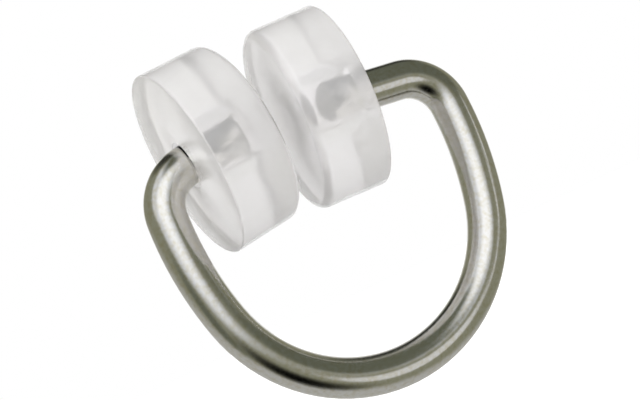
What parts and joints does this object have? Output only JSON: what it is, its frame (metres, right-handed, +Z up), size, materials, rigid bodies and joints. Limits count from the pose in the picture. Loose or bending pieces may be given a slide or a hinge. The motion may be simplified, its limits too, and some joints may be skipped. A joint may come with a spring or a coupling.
{
  "type": "curtain glider",
  "caption": "Open D-shaped wire loop whose facing ends carry loose moulded rollers: they straddle the web of a curtain rail and run on its flanges, and the loop takes a curtain hook.",
  "frame": {"origin": "middle of the rail gap, between the rollers' inner faces on the line of their bores", "axes": "+X from the left roller to the right one, +Y along the rail, +Z up, with the loop hanging below"},
  "size_m": [0.0179, 0.0097, 0.0191],
  "materials": {
    "wire": "drawn steel wire, bright nickel plate",
    "roller": "moulded natural nylon, milky and slightly translucent"
  },
  "bodies": {
    "wire_loop": {"wire_loop": "wire"},
    "left_roller": {"left_roller": "roller"},
    "right_roller": {"right_roller": "roller"}
  },
  "joints": [
    {"name": "left_roller_spin", "type": "hinge", "parent": "wire_loop", "child": "left_roller", "pos_m": [-0.00313, 0, 0], "axis": [0.9925, 0, 0.1219], "continuous": true},
    {"name": "right_roller_spin", "type": "hinge", "parent": "wire_loop", "child": "right_roller", "pos_m": [0.00369, 0, 0], "axis": [0.9957, -0.0924, 0.0025], "continuous": true}
  ]
}
